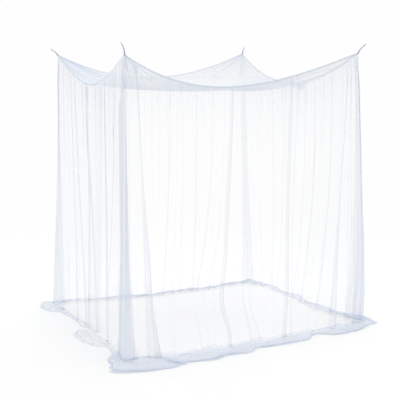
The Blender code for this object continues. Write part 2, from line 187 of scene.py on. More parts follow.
def netMaterial(name, cover=1.0, grazeLimit=0.1, light=net["light"], deep=net["deep"]):
    finish = Finish(name, Roughness=net["rough"], Sheen_Weight=net["sheen"], Sheen_Roughness=0.5)
    across, down = finish.clothPlace()
    turn = math.pi / net["pitch"]
    holes = abs((across * turn).sine()) * abs((down * turn).sine())
    weave = net["thread"] - net["hole"] * holes
    grain = finish.node(
        "ShaderNodeTexNoise", None, 0, Scale=1.0, Detail=1.0, Roughness=0.5,
        Vector=finish.stretched(across, down, *net["streak"]),
    )
    streaks = 1.0 + net["streakDepth"] * 2.0 * (grain - 0.5)
    hem = finish.attribute("hem").below(net["hemWidth"])
    fullness = finish.attribute("fullness")
    slant = (1.0 - finish.node("ShaderNodeLayerWeight", None, 1, Blend=0.5)).atLeast(grazeLimit)
    gathered = fullness + finish.attribute("haze")
    thickness = net["cover"] * cover * gathered * weave * streaks * (1.0 + net["hemCover"] * hem)
    alpha = 1.0 - (-thickness / slant).exponent()
    # where the cloth is full the colour deepens to blue-grey: painted shade of the gathered folds, corner
    # columns, pools and roof creases, over the net's own faint blue
    depth = ((fullness - 1.0) / (net["fullestShade"] - 1.0)).atMost(1.0).atLeast(0.0)
    finish.feed(Alpha=alpha, Base_Color=finish.mixed(depth, light, deep))
    return finish.material


tape = dict(light=(0.74, 0.79, 0.87), deep=(0.58, 0.64, 0.74), pitch=0.0014, cover=0.42, ribHeight=0.0004)


def tapeMaterial():
    finish = Finish("bindingTape", Roughness=0.75, Alpha=tape["cover"], Sheen_Weight=0.2)
    across, down = finish.clothPlace()
    turn = math.pi / tape["pitch"]
    ribs = abs((across * turn).sine())
    bars = abs((down * turn).sine())
    height = (ribs * bars) ** 0.5
    bump = finish.node("ShaderNodeBump", None, 0, Strength=0.35, Distance=tape["ribHeight"], Height=height)
    # the colour follows the weave's height and is deep in its grooves: painted shade over the bump
    finish.feed(Base_Color=finish.mixed(height, tape["deep"], tape["light"]), Normal=bump)
    return finish.material


tieTape = dict(
    light=(0.46, 0.5, 0.58), deep=(0.28, 0.32, 0.4), pitch=0.0016, ribHeight=0.0005,
    wear=(0.004, 0.012),  # across and along
)


def tieMaterial():
    finish = Finish("tieTape", Roughness=0.7, Sheen_Weight=0.2)
    across, down = finish.clothPlace()
    slant = (across + down) * (math.pi / tieTape["pitch"])
    ribs = abs(slant.sine())
    worn = finish.node(
        "ShaderNodeTexNoise", None, 0, Scale=1.0, Detail=3.0,
        Vector=finish.stretched(across, down, *tieTape["wear"]),
    )
    bump = finish.node("ShaderNodeBump", None, 0, Strength=0.5, Distance=tieTape["ribHeight"], Height=ribs)
    # the colour is deep in the rib grooves, painted shade, and in the worn streaks, real wear
    finish.feed(Base_Color=finish.mixed(ribs * worn, tieTape["deep"], tieTape["light"]), Normal=bump)
    return finish.material


stitching = dict(light=(0.72, 0.76, 0.82), deep=(0.5, 0.54, 0.6), ply=0.0006)


def threadMaterial():
    finish = Finish("thread", Roughness=0.6)
    across, down = finish.clothPlace()
    ply = abs(((across + down) * (math.pi / stitching["ply"])).sine())
    # the colour is deep between the plies: painted shade
    finish.feed(Base_Color=finish.mixed(ply, stitching["deep"], stitching["light"]))
    return finish.material


def floorMaterial():
    finish = Finish("studioFloor", Roughness=0.9, Specular_IOR_Level=0.0)
    place = finish.node("ShaderNodeTexCoord", None, 3)
    grain = finish.node("ShaderNodeTexNoise", None, 0, Scale=studio["patch"], Detail=2.0, Vector=place)
    away = finish.node("ShaderNodeVectorMath", dict(operation="LENGTH"), 1, in0=place)
    # painted light: a soft pool of light on the floor around the canopy, with random patches over it
    paintedGlow = (1.0 - away / studio["liftReach"]).atLeast(0.0)
    ring = paintedGlow * paintedGlow * (away / studio["liftFull"]).atMost(1.0) + studio["patchy"] * (grain - 0.5)
    white = studio["floorWhite"]
    finish.feed(Base_Color=finish.mixed(ring, (white,) * 3, (white + studio["lift"],) * 3))
    return finish.material


corners = dict(
    # widths: share of the drop, then how wide the gathered cloth is and how full, on the wall that
    # ends at the corner and on the one that starts there; rim: how full it is at its outer edge and
    # at the corner itself; lean: how far it stands off the straight way down
    frontLeft=dict(
        at=(-1.101, -0.892, -0.006), foot=(-1.19, -1), rim=(1.5, 12),
        lean=((0, 0), (1, 0)),
        widths=(
            (0, 0.06, 3, 0.01, 12), (0.09, 0.085, 3.5, 0.016, 16), (0.16, 0.168, 5.8, 0.023, 25),
            (0.31, 0.17, 7, 0.042, 40), (0.48, 0.15, 7.5, 0.056, 42), (0.64, 0.135, 8, 0.064, 40),
            (0.8, 0.165, 8, 0.074, 32), (0.92, 0.17, 7, 0.082, 22), (1, 0.22, 6, 0.11, 18),
        ),
    ),
    frontRight=dict(
        at=(1.1, -0.902, 0.01), foot=(1.21, -0.95), rim=(2, 0),
        lean=((0, 0), (0.15, 0.022), (0.35, 0.03), (0.7, 0.03), (0.85, 0.018), (1, -0.015)),
        widths=(
            (0, 0.07, 2, 0.1, 2.6), (0.18, 0.085, 3, 0.12, 3.6), (0.4, 0.08, 3.4, 0.125, 4),
            (0.7, 0.125, 4.5, 0.16, 4), (1, 0.15, 5, 0.2, 4.5),
        ),
    ),
    backRight=dict(
        at=(1, 0.912, 0.003), foot=(1.05, 0.87), rim=(1, 0.3), lean=((0, 0), (1, 0)),
        widths=(
            (0, 0.06, 3, 0.02, 3), (0.5, 0.09, 4, 0.03, 3.6), (0.85, 0.11, 4.4, 0.05, 3.6),
            (1, 0.13, 4, 0.07, 3),
        ),
    ),
    backLeft=dict(
        at=(-0.999, 0.883, -0.008), foot=(-1.07, 0.97), rim=(1, 0), lean=((0, 0), (1, 0)),
        widths=(
            (0, 0.08, 1.6, 0.12, 2.6), (0.3, 0.09, 1.8, 0.16, 3.2), (0.7, 0.09, 2, 0.17, 3.4),
            (1, 0.11, 2, 0.26, 2.6),
        ),
    ),
)
edges = dict(
    front=dict(start="frontLeft", end="frontRight", sag=0.266, bow=0.028, low=0.42),
    right=dict(start="frontRight", end="backRight", sag=0.273, bow=0.05, low=0.5),
    back=dict(start="backRight", end="backLeft", sag=0.224, bow=0.07, low=0.54),
    left=dict(start="backLeft", end="frontLeft", sag=0.256, bow=0.09, low=0.38),
)
edgeOrder = ("front", "right", "back", "left")


def topOf(corner):
    return np.array(corners[corner]["at"])


def footOf(corner):
    return np.array((*corners[corner]["foot"], floorZ))


def levelOut(start, end):
    way = end - start
    side = np.array((way[1], -way[0], 0.0))
    return side / np.linalg.norm(side)


# where a wall meets the floor: its start, its length, its way along and its way out
def footLine(edgeName):
    edge = edges[edgeName]
    start, end = footOf(edge["start"]), footOf(edge["end"])
    span = np.linalg.norm(end - start)
    return start, span, (end - start) / span, levelOut(start, end)


def ease(value):
    value = np.clip(value, 0.0, 1.0)
    return value * value * (3 - 2 * value)


def bell(place):
    return np.exp(-(place**2))


# distances from the first point, from the steps between the points
def distances(steps):
    return np.concatenate([[0], np.cumsum(steps)])


# where each point of a grid lies on its cloth
def clothGrid(across, down):
    return np.stack(np.broadcast_arrays(across[:, None], down[None, :]), axis=-1).reshape(-1, 2)


def sagShare(edge, share):
    skew = (0.5 - edge["low"]) / (edge["low"] * (1 - edge["low"]))
    warped = share + skew * share * (1 - share)
    return np.maximum(4 * warped * (1 - warped), 0)


# points of a top edge, moved out of the canopy and down
def seamAt(edgeName, share, out=0.0, down=0.0):
    edge = edges[edgeName]
    start, end = topOf(edge["start"]), topOf(edge["end"])
    sagged = sagShare(edge, share)
    points = start + (end - start) * share[..., None]
    points = points + levelOut(start, end) * (out - edge["bow"] * sagged)[..., None]
    points[..., 2] -= edge["sag"] * sagged + down
    return points


# an uneven wave from -1 to 1
def wave(along, seed, waves):
    turn = 2 * math.pi * waves * along
    total = 0.5 * np.sin(turn + seed) + 0.3 * np.sin(1.73 * turn + 2.1 * seed)
    return total + 0.2 * np.sin(2.9 * turn + 3.7 * seed)


# a table's column, read smoothly between its rows
def smoothTable(rows, column, along):
    keys = np.array([row[0] for row in rows])
    values = np.array([row[column] for row in rows])
    place = np.clip(np.searchsorted(keys, along, side="right") - 1, 0, len(rows) - 2)
    share = ease((along - keys[place]) / (keys[place + 1] - keys[place]))
    return values[place] + share * (values[place + 1] - values[place])


def addPiece(name, points, faces, materials, cloth, faceMaterials=None, **attributes):
    mesh = bpy.data.meshes.new(name)
    mesh.from_pydata(points, [], faces)
    for material in materials:
        mesh.materials.append(material)
    if faceMaterials is not None:
        mesh.polygons.foreach_set("material_index", np.asarray(faceMaterials, np.int32))
    mesh.shade_smooth()
    corner = np.empty(len(mesh.loops), np.int32)
    mesh.loops.foreach_get("vertex_index", corner)
    layer = mesh.uv_layers.new(name="cloth")
    layer.uv.foreach_set("vector", np.asarray(cloth, np.float32)[corner].ravel())
    for attribute, values in attributes.items():
        values = np.asarray(values, np.float32).ravel()
        mesh.attributes.new(attribute, "FLOAT", "POINT").data.foreach_set("value", values)
    mesh.update()
    piece = bpy.data.objects.new(name, mesh)
    bpy.context.scene.collection.objects.link(piece)
    return piece


# quads of a grid of points, counted down first
def gridFaces(across, down):
    first, place = np.meshgrid(np.arange(across - 1), np.arange(down - 1), indexing="ij")
    after = first + 1
    near, far = first * down + place, after * down + place
    return np.stack([near, far, far + 1, near + 1]).reshape(4, -1).T.tolist()


# quads of a closed tube, with a face at each end
def tubeFaces(rings, sides):
    faces = []
    for ring in range(rings - 1):
        for place in range(sides):
            base, after = ring * sides, (place + 1) % sides
            faces.append((base + place, base + after, base + sides + after, base + sides + place))
    last = (rings - 1) * sides
    faces.append(tuple(range(sides))[::-1])
    faces.append(tuple(last + place for place in range(sides)))
    return faces


# weights of a smooth curve through controls, with steps points in each stretch
def curveWeights(controls, steps):
    rows = []
    for stretch in range(controls - 1):
        for step in range(steps[stretch]):
            rows.append((stretch, step / steps[stretch]))
    rows.append((controls - 2, 1.0))
    weights = np.zeros((len(rows), controls))
    for line, (stretch, t) in enumerate(rows):
        parts = (
            -0.5 * t + t * t - 0.5 * t**3, 1 - 2.5 * t * t + 1.5 * t**3,
            0.5 * t + 2 * t * t - 1.5 * t**3, -0.5 * t * t + 0.5 * t**3,
        )
        for offset, part in zip((-1, 0, 1, 2), parts):
            weights[line, min(max(stretch + offset, 0), controls - 1)] += part
    return weights


drape = dict(
    # rows of a wall as shares of its drop, and the steps between them
    falls=(0.0, 0.02, 0.05, 0.1, 0.17, 0.26, 0.36, 0.47, 0.58, 0.69, 0.79, 0.875, 0.935, 0.972),
    fallSteps=(2, 3, 4, 5, 5, 6, 6, 6, 6, 5, 5, 4, 4, 3),
    flare=1.5,  # the foot line pulls at the cloth more the lower it hangs
    gather=0.42, foldFull=0.1, opensFrom=0.7, opening=0.4,
    haze=12.0, hazeDrop=0.085,  # the cloth is gathered into the seam
    band=(0.7, 1.02), bandEdge=(0.55, 0.9, 0.22),  # a fold's body in its middle and at its two edges
    fadeIn=0.15, fadeOut=0.3,  # over what share of the drop a fold comes and goes
    foot=(0.72, 0.28), ankle=(0.6, 0.3, 0.3),  # where a kick shows, and where it leans back a little
    leastFull=0.6,
)
cornerColumn = dict(
    rim=(0.9, 0.1), core=0.009,  # where a column's outer edge is and how wide, and its inner half width
    uneven=0.22, strands=52,
    pull=0.18, pullReach=0.13, pullFalls=(0.62, 0.36),  # how much it draws in above its foot
    leanReach=0.25, packed=0.05,  # metres from the corner
    held=0.01,  # the cloth is held fast this near to the corner
)
# from and to which share of the drop it is seen, its width at the top, how late it widens, and how
# far it turns sideways at its foot
usualFold = dict(begins=-1.0, ends=2.0, taper=0.55, power=3, kick=0.0)
# step between folds, half width, depth and body, each from and to
smallFolds = dict(
    gathers=dict(step=(0.016, 0.04), half=(0.006, 0.013), depth=(0.001, 0.0025), body=(0.4, 2.2)),
    longs=dict(step=(0.26, 0.55), half=(0.01, 0.016), depth=(0.003, 0.006), body=(0.3, 1.1)),
    lows=dict(step=(0.14, 0.28), half=(0.016, 0.026), depth=(0.005, 0.01), body=(0.3, 0.9)),
    packed=dict(step=(0.014, 0.026), half=(0.007, 0.011), depth=(0.002, 0.004), body=(0.3, 1.2)),
)
pool = dict(
    # share of the pool's width and height, and how uneven each is
    run=(
        (0, 0.006, 0, 0.2), (0.1, 0.028, 0.03, 0.45), (0.28, 0.015, 0.06, 0.5), (0.48, 0.022, 0.08, 0.5),
        (0.72, 0.013, 0.08, 0.45), (0.9, 0.012, 0.05, 0.45), (1, 0.006, 0.03, 0.3),
        (0.94, 0.002, 0.03, 0.3), (0.76, 0.0015, 0.06, 0.1),
    ),
    steps=(4, 4, 5, 5, 5, 4, 3, 3),
    layers=2.3, layerLine=0.55, lineHalf=0.1,  # edges of the layers in the heap
    swayWaves=(1.9, 5), bumpWaves=(2.3, 6),  # slow and quick waves to a metre
    wander=0.1, wanders=5,  # how far it strays sideways, and how often along a wall
    crumple=((0.006, 0.13, 2.6), (0.004, -0.2, 5.3)),  # height, slant and waves to a metre
    patchy=0.3,  # how uneven its body is
    fullWidth=0.12, cornerReach=0.16, flatten=0.6, least=0.0006, lyingFrom=0.25,
)


# the way a panel's cloth spreads on the floor, turning to the corner's middle line at its ends
def poolWay(edgeName, along):
    place = edgeOrder.index(edgeName)
    normals = [footLine(edgeOrder[(place + step) % 4])[3] for step in (-1, 0, 1)]
    nearStart = ease(1 - along / pool["cornerReach"])[:, None]
    nearEnd = ease(1 - (1 - along) / pool["cornerReach"])[:, None]
    way = normals[1] + normals[0] * nearStart + normals[2] * nearEnd
    return way / np.linalg.norm(way, axis=1)[:, None]


# uneven small folds: place, half width, depth, begin, end, body, drift and phase of each
def drawFolds(panel, span, draw):
    folds = []
    first, last = panel["start"] * span, panel["floorEnd"] * span
    sign, since, until = panel["oneSided"]
    packed = cornerColumn["packed"]
    for kind, looks in smallFolds.items():
        place = first + draw.uniform(*looks["step"])
        while place < last - 0.006:
            inColumn = span - place < packed or (first < 0.04 and place < packed)
            begins, ends = -0.2, 1.5
            if kind == "gathers":
                ends = min(0.05 + draw.exponential(0.1), 0.5)
            if kind == "longs" and draw.random() < 0.4:
                ends = draw.uniform(0.4, 0.9)
            if kind == "lows":
                begins = draw.uniform(0.45, 0.8)
            if inColumn == (kind == "packed"):
                inside = since <= place / span < until
                side = sign if inside else draw.choice((-1.0, 1.0))
                folds.append((
                    place, draw.uniform(*looks["half"]), side * draw.uniform(*looks["depth"]),
                    begins, ends, draw.uniform(*looks["body"]), draw.uniform(-1, 1), draw.uniform(0, 6.28),
                ))
            place += draw.uniform(*looks["step"])
    return folds


# places across a panel, closer together where the cloth turns sharply
def panelColumns(panel, span, folds):
    fine = np.linspace(panel["start"], panel["floorEnd"], 8001)
    crowd = np.ones_like(fine)
    for row in panel["folds"]:
        crowd += 1.3 * bell((fine - row[1]) * span / (2 * row[2]))
    for place, half, depth, *_ in folds:
        crowd += 1.2 * bell((fine * span - place) / (1.6 * half)) * min(abs(depth) / 0.008, 1.5)
    run = distances((crowd[1:] + crowd[:-1]) / 2)
    floors = np.interp(np.linspace(0, run[-1], panel["across"]), run, fine)
    marks = sorted([(panel["start"], panel["start"]), (panel["end"], panel["floorEnd"]), *panel["ways"]])
    tops = np.interp(fine, [mark[1] for mark in marks], [mark[0] for mark in marks])
    width = 161  # points of the fine scale that a turn is spread over
    before, after = 2 * tops[0] - tops[width:0:-1], 2 * tops[-1] - tops[-2 : -width - 2 : -1]
    padded = np.concatenate([before, tops, after])
    smooth = np.convolve(padded, np.ones(width) / width, "same")[width:-width]
    return floors, np.interp(floors, fine, smooth)


# a slow wave with a smaller, quicker one over it
def doubleWave(along, seed, slow, quick):
    return wave(along, seed, slow) + 0.4 * wave(along, seed + 2, quick)


# the wall's form without its folds: its points, and how far down and out on the floor each row lies
def smoothWall(panel, floors, tops):
    start, span, way, out = footLine(panel["edge"])
    along = floors * span
    layer = layerStep * panel["layer"]
    top = seamAt(panel["edge"], tops, out=layer, down=tapeHeight - seamTuck)
    bulge = smoothTable(panel["hem"], 1, floors) + layer
    foot = start + way * along[:, None] + out * bulge[:, None]
    width = smoothTable(panel["hem"], 2, floors)
    low = np.minimum(width / pool["fullWidth"], 1.0)
    landing = floorZ + pool["run"][0][1] * low
    controls, drops, outs = [], [], []
    for drop in drape["falls"]:
        point = top + (foot - top) * drop ** drape["flare"]
        point[:, 2] = top[:, 2] + (landing - top[:, 2]) * drop
        controls.append(point)
        drops.append(drop)
        outs.append(0.0)
    spread = poolWay(panel["edge"], floors)
    drift = panel["poolDrift"] * ease((floors - 0.5 * panel["floorEnd"]) / panel["floorEnd"] * 2)
    for number, (reach, up, sway, bumpy) in enumerate(pool["run"]):
        turn = panel["seed"] + 1.7 * number
        swayed = reach + sway * doubleWave(along, turn, *pool["swayWaves"])
        wander = reach * (pool["wander"] * width * wave(floors, turn + 4, pool["wanders"]) + drift)
        point = foot + spread * (width * swayed)[:, None] + way * wander[:, None]
        bumps = doubleWave(along, turn + 1, *pool["bumpWaves"])
        point[:, 2] = floorZ + up * (1 + bumpy * bumps) * low
        controls.append(point)
        drops.append(1.0 + 0.02 * number)
        outs.append(reach)
    weights = curveWeights(len(controls), drape["fallSteps"] + pool["steps"])
    points = np.einsum("rk,kcd->crd", weights, np.array(controls))
    drops = np.minimum(weights @ np.array(drops), 1.0)
    outs = np.clip(weights @ np.array(outs), 0.0, 1.0)
    return points, drops, outs, low


def lastingOver(drops, begins, ends):
    return ease((ends - drops) / drape["fadeOut"]) * ease((drops - begins) / drape["fadeIn"])


# how far the folds stand out, how they draw the cloth together, and how full it is in them
def layFolds(panel, span, floors, tops, drops, outs, small):
    along = (floors * span)[:, None]
    hanging = 1 - ease(outs / pool["lyingFrom"])
    laid = 1 - pool["flatten"] * outs
    flared = drops ** drape["flare"]
    fell = drops ** panel["sweep"]
    growth = 1 + drape["opening"] * ease((drops - drape["opensFrom"]) / 0.3)
    growth = growth * ease(drops / drape["foldFull"])
    squeeze = (1 - drape["gather"]) * (1 - flared)
    slope = np.clip(np.gradient(tops, floors), 0.3, 1.5)
    rise = np.zeros((len(floors), len(drops)))
    shift = np.zeros_like(rise)
    full = np.zeros_like(rise)
    foot, footTall = drape["foot"]
    ankle, ankleTall, back = drape["ankle"]
    kicked = ease((drops - foot) / footTall) ** 2 - back * ease((drops - ankle) / ankleTall)
    middle, middleHalf = drape["band"]
    rim, rimAt, rimHalf = drape["bandEdge"]
    for number, row in enumerate(panel["folds"]):
        hangs, lands, half, depth, body = row[:5]
        looks = dict(usualFold, **(row[5] if len(row) > 5 else {}))
        # a fold leaves the straight way down where it runs across the cloth around it
        straight = np.interp(lands, floors, tops)
        aside = hangs * (1 - fell) + lands * fell - straight * (1 - flared) - lands * flared
        aside = aside / (np.interp(lands, floors, slope) * (1 - flared) + flared)
        lean = aside * span + 0.004 * np.sin(3.1 * drops + 1.9 * number) * drops
        lean = lean + looks["kick"] * kicked
        wide = half * (looks["taper"] + (1 - looks["taper"]) * drops ** looks["power"])
        place = (along - lands * span - lean) / wide
        lasting = lastingOver(drops, looks["begins"], looks["ends"])
        rise += depth * growth * lasting * laid * bell(place)
        shift -= squeeze * place * wide * bell(place / 1.5) * growth * lasting
        band = middle * np.exp(-((place / middleHalf) ** 6))
        band = band + rim * bell((np.abs(place) - rimAt) / rimHalf)
        full += body * ease(drops / 0.03) * lasting * hanging * band
    for spot, half, depth, begins, ends, body, drift, phase in small:
        widen = half * (1 + 0.5 * drops)
        place = (along - spot - 0.006 * drift * np.sin(4.0 * drops + phase)) / widen
        strength = lastingOver(drops, begins, ends) * (0.8 + 0.2 * np.cos(5 * drops + phase))
        swell = bell(place) * strength
        rise += depth * ease(drops / 0.012) * laid * swell
        shift -= 0.35 * place * widen * bell(place / 1.4) * strength
        full += body * swell * hanging
    for place, amount, half, middle, tall in panel["tucks"]:
        shift += amount * bell((along - place * span) / half) * bell((drops - middle) / tall)
    for place, half, tall, body in panel["darts"]:
        reach = np.abs(along - place * span) / half + drops / tall
        full += body * ease((1.15 - reach) / 0.3) * hanging
    return rise, shift, full


# how the corner columns draw the cloth in, how full they are, how they lean, and how near a corner is
def gatherCorners(panel, span, floors, drops):
    edge = edges[panel["edge"]]
    along = (floors * span)[:, None]
    shape = (len(floors), len(drops))
    shift, full, lean = np.zeros(shape), np.zeros(shape), np.zeros(shape)
    gap = np.full((len(floors), 1), 1.0)
    falls, over = cornerColumn["pullFalls"]
    falling = (1 - ease((drops - falls) / over)) * ease(drops / 0.1)
    rimAt, rimHalf = cornerColumn["rim"]
    for corner, isAt, distance, side in (
        (corners[edge["start"]], panel["start"] < 0.001, along, 3),
        (corners[edge["end"]], panel["floorEnd"] > 0.999, span - along, 1),
    ):
        if not isAt:
            continue
        gap = np.minimum(gap, distance)
        place = distance / smoothTable(corner["widths"], side, drops)
        strands = wave(distance + 0.004 * drops, panel["seed"] + side, cornerColumn["strands"])
        body = smoothTable(corner["widths"], side + 1, drops) * (1 + cornerColumn["uneven"] * strands)
        outer, inner = corner["rim"]
        column = body * np.exp(-(place**8)) + outer * bell((place - rimAt) / rimHalf)
        column = column + inner * bell(distance / cornerColumn["core"])
        full += column * ease(drops / 0.02)
        pull = cornerColumn["pull"] * distance * bell(distance / cornerColumn["pullReach"]) * falling
        shift += pull if side == 1 else -pull
        lean += smoothTable(corner["lean"], 1, drops) * bell(distance / cornerColumn["leanReach"])
    return shift, full, lean, gap


def hangPanel(panel, material):
    span, way, out = footLine(panel["edge"])[1:]
    seed = panel["seed"]
    small = drawFolds(panel, span, np.random.default_rng(seed))
    floors, tops = panelColumns(panel, span, small)
    points, drops, outs, low = smoothWall(panel, floors, tops)
    rise, shift, folded = layFolds(panel, span, floors, tops, drops, outs, small)
    drawn, column, lean, gap = gatherCorners(panel, span, floors, drops)
    held = ease(gap / cornerColumn["held"])
    points[..., 0] += lean
    points += out * (rise * held)[..., None] + way * ((shift + drawn) * held)[..., None]

    # the cloth that lies on the floor, creased and in layers
    along = (floors * span)[:, None]
    lying = ease(outs / pool["lyingFrom"])
    for number, (height, slant, waves) in enumerate(pool["crumple"]):
        crumple = height * wave(along + slant * outs, seed + 7 + number, waves)
        points[..., 2] += crumple * lying * (1 - 0.6 * outs) * low[:, None]
    points[..., 2] = np.maximum(points[..., 2], floorZ + pool["least"])
    body = smoothTable(panel["hem"], 3, floors)[:, None] * smoothTable(panel["lying"], 1, outs)
    layers = pool["layers"] * outs
    layers = layers + 0.45 * wave(along, seed + 11, 0.9) + 0.12 * wave(along, seed + 12, 2.7)
    uneven = 1 + pool["patchy"] * wave(along + 0.5 * outs, seed + 9, 2.2)
    uneven = uneven + pool["layerLine"] * bell((layers - np.round(layers)) / pool["lineHalf"])
    fullness = 1 + folded + column * (1 - lying) + body * lying * uneven
    seamHaze = drape["haze"] * np.exp(-drops / drape["hazeDrop"])
    haze = (seamHaze + smoothTable(panel["haze"], 1, floors)[:, None]) * (1 - lying)

    # distances on the cloth, across it and up from its hem
    across = distances(np.linalg.norm(np.diff(points[:, len(drops) // 2], axis=0), axis=1))
    upFromHem = distances(np.linalg.norm(np.diff(points, axis=1), axis=2).mean(axis=0)[::-1])[::-1]
    hem = np.broadcast_to(upFromHem[None, :], points.shape[:2])
    if "start" in panel["free"]:
        hem = np.minimum(hem, across[:, None])
    if "end" in panel["free"]:
        hem = np.minimum(hem, across[-1] - across[:, None])
    piece = addPiece(
        panel["name"].replace("_panel", "") + "_net", points.reshape(-1, 3),
        gridFaces(len(floors), len(drops)), [material], clothGrid(across, upFromHem),
        hem=hem, fullness=np.maximum(fullness, drape["leastFull"]), haze=haze,
    )
    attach(piece, "root")
    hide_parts(panel["name"])
    print(panel["name"], "hung:", points.shape[:2], "cut", across[-1].round(2), "x", upFromHem[0].round(2))


# Places are shares of the edge above and of the foot line below. Ways say where the cloth hangs from
# and lands; folds add half width, depth and body; hem has the foot line's bulge, then the width and
# body of the cloth on the floor; lying is how that changes outwards; sweep is how late the folds run
# sideways; oneSided is the way that small folds stand, from and to.
usualPanel = dict(
    start=0.0, end=1.0, floorEnd=1.0, layer=0, free=(), oneSided=(0.0, 0.0, 0.0), poolDrift=0.0,
    tucks=(),  # place, amount, half width, middle and height of a pull sideways
    darts=(),  # place, half width, height and body of a full triangle under the seam
)
frontPanel = dict(
    usualPanel, name="front_panel", tape="binding_front", edge="front", start=0.014, seed=13, across=620,
    free=("start",), oneSided=(-1, 0, 0.145), sweep=1,
    haze=((0, 0.2), (0.84, 0.2), (0.93, 1), (1, 1)),
    lying=((0, 0.4), (0.3, 0.85), (0.65, 1.05), (0.85, 1.05), (1, 0.55)),
    ways=(
        (0.104, 0.112), (0.18, 0.19), (0.262, 0.286), (0.35, 0.35), (0.44, 0.4), (0.495, 0.484),
        (0.53, 0.52), (0.61, 0.592), (0.702, 0.646), (0.8, 0.735), (0.88, 0.8), (0.94, 0.86),
        (0.968, 0.92), (0.985, 0.95),
    ),
    folds=(
        (0.104, 0.122, 0.014, -0.006, 1.1), (0.18, 0.19, 0.016, 0.007, 0.9),
        (0.255, 0.268, 0.007, 0.006, 3.9, dict(begins=0.78, kick=0.07)), (0.262, 0.31, 0.012, 0.007, 1.4),
        (0.35, 0.34, 0.016, -0.007, 0.7), (0.434, 0.366, 0.02, 0.02, 9.2, dict(kick=0.1)),
        (0.446, 0.374, 0.007, 0.006, 3.4, dict(ends=0.7)),
        (0.465, 0.462, 0.009, 0.009, 5.8, dict(begins=0.6, kick=0.08)),
        (0.49, 0.49, 0.008, 0.006, 4.1, dict(begins=0.66, kick=0.1)), (0.6, 0.585, 0.016, -0.008, 0.6),
        (0.696, 0.63, 0.019, 0.018, 9.2, dict(kick=-0.03)), (0.73, 0.654, 0.011, 0.01, 5.2),
        (0.79, 0.725, 0.012, 0.007, 1.4), (0.85, 0.775, 0.014, -0.007, 0.7),
        (0.966, 0.842, 0.042, 0.014, 6.9, dict(taper=0.2)), (0.968, 0.908, 0.012, 0.01, 3.9),
        (0.985, 0.939, 0.012, 0.008, 3.7), (0.994, 0.975, 0.01, 0.005, 1.1),
    ),
    hem=(
        (0, -0.02, 0.04, 4), (0.112, -0.012, 0.04, 4), (0.15, 0.015, 0.27, 7), (0.27, 0.03, 0.3, 8),
        (0.34, 0.04, 0.24, 7.5), (0.41, 0.045, 0.26, 8), (0.47, 0.04, 0.19, 8), (0.6, 0.035, 0.215, 7.5),
        (0.67, 0.03, 0.2, 7), (0.735, 0.02, 0.1, 8), (0.8, 0.015, 0.21, 9), (0.88, 0.01, 0.205, 8.5),
        (0.95, 0.005, 0.14, 8), (1, 0, 0.13, 8),
    ),
)
frontFlap = dict(
    usualPanel, name="front_flap", tape="binding_front", edge="front", end=0.048, floorEnd=0.138, layer=1,
    seed=41, across=190, free=("end",), oneSided=(1, 0, 1), sweep=1, poolDrift=0.11,
    haze=((0, 2), (0.09, 2), (0.138, 6)),
    tucks=((0.138, -0.024, 0.08, 0.86, 0.16),),
    lying=((0, 0.45), (0.3, 0.9), (0.65, 1.1), (0.85, 1), (1, 0.5)),
    ways=((0.012, 0.025), (0.034, 0.1)),
    folds=(
        (0.01, 0.034, 0.008, 0.006, 3), (0.024, 0.05, 0.006, 0.005, 2, dict(begins=0.55)),
        (0.044, 0.104, 0.05, 0.004, 6.8, dict(taper=1.3, power=2)),
        (0.044, 0.078, 0.012, 0.004, 3, dict(begins=0.5)),
        (0.047, 0.136, 0.007, 0.004, 8, dict(taper=0.8)),
    ),
    hem=(
        (0, 0.002, 0.27, 8), (0.05, 0.022, 0.345, 8), (0.1, 0.036, 0.33, 7), (0.14, 0.04, 0.27, 7),
    ),
)
rightPanel = dict(
    usualPanel, name="right_panel", tape="binding_right", edge="right", seed=26, across=560, sweep=2.4,
    haze=((0, 7), (0.16, 5.6), (0.34, 2.8), (0.55, 0.8), (1, 0.4)),
    darts=((0.575, 0.12, 0.034, 6),),
    # the cloth on the floor is fullest next to the wall: cloth tucked under the hem, and painted contact
    # shade
    lying=((0, 1.8), (0.15, 1.4), (0.4, 0.8), (0.75, 0.7), (1, 0.6)),
    ways=(
        (0.01, 0.022), (0.026, 0.058), (0.048, 0.104), (0.092, 0.185), (0.18, 0.32), (0.297, 0.455),
        (0.375, 0.54), (0.47, 0.62), (0.562, 0.7), (0.653, 0.762), (0.81, 0.858), (0.892, 0.91),
        (0.952, 0.955),
    ),
    folds=(
        (0.011, 0.03, 0.012, 0.009, 5.5), (0.03, 0.07, 0.014, 0.01, 2.7),
        (0.055, 0.12, 0.015, 0.009, 2.5), (0.105, 0.205, 0.016, 0.008, 2.7),
        (0.177, 0.317, 0.018, 0.01, 6.4), (0.235, 0.389, 0.014, 0.006, 3.9, dict(ends=0.45)),
        (0.304, 0.477, 0.015, 0.01, 5.9), (0.307, 0.435, 0.009, 0.004, 2.7),
        (0.38, 0.569, 0.014, 0.008, 4.7), (0.425, 0.6, 0.009, 0.003, 3.1, dict(ends=0.42)),
        (0.48, 0.65, 0.016, -0.007, 0.8), (0.579, 0.735, 0.014, 0.008, 3.6),
        (0.679, 0.78, 0.014, 0.01, 3.9), (0.831, 0.883, 0.014, 0.007, 2.7),
        (0.91, 0.92, 0.015, 0.009, 1.6), (0.965, 0.962, 0.014, 0.01, 2.7),
    ),
    hem=(
        (0, 0, 0.12, 9), (0.08, -0.03, 0.17, 9), (0.2, -0.095, 0.12, 7.3), (0.33, -0.1, 0.15, 6.7),
        (0.46, -0.06, 0.09, 5), (0.6, -0.015, 0.13, 5), (0.72, 0.015, 0.08, 4.5),
        (0.86, 0.015, 0.14, 4.5), (1, 0, 0.17, 5.6),
    ),
)
